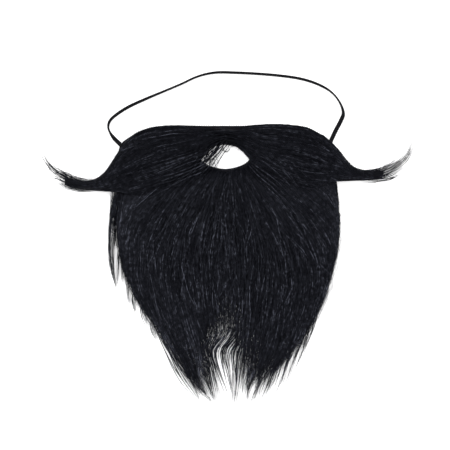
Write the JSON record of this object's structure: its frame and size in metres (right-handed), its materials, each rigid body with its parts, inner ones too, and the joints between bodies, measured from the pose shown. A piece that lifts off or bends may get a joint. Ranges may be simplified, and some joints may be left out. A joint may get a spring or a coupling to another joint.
{
  "type": "costume beard",
  "caption": "Black costume beard of hair locks ending in lobes, with a curled moustache, a mouth opening in its cloth backing and a thin head elastic",
  "frame": {"origin": "on the cloth backing's skin-side face, on the middle line, 19.5 mm below the line through the corners of the mouth hole", "axes": "+Z out of the face through the hair, +Y up the face from chin to nose, +X to the right as seen from the front"},
  "size_m": [0.2099, 0.187, 0.0107],
  "materials": {
    "black_cloth": "matt black woven cloth with a sewn edge",
    "beard_fibre": "black synthetic hair with a soft cool sheen",
    "left_moustache_fibre": "black synthetic hair with a soft cool sheen",
    "right_moustache_fibre": "black synthetic hair with a soft cool sheen",
    "black_elastic": "black braided elastic, slightly shiny"
  },
  "bodies": {
    "root": {"backing": "black_cloth", "beard_hair": "beard_fibre", "moustache_left": "left_moustache_fibre", "moustache_right": "right_moustache_fibre", "elastic_cord": "black_elastic"}
  },
  "joints": []
}
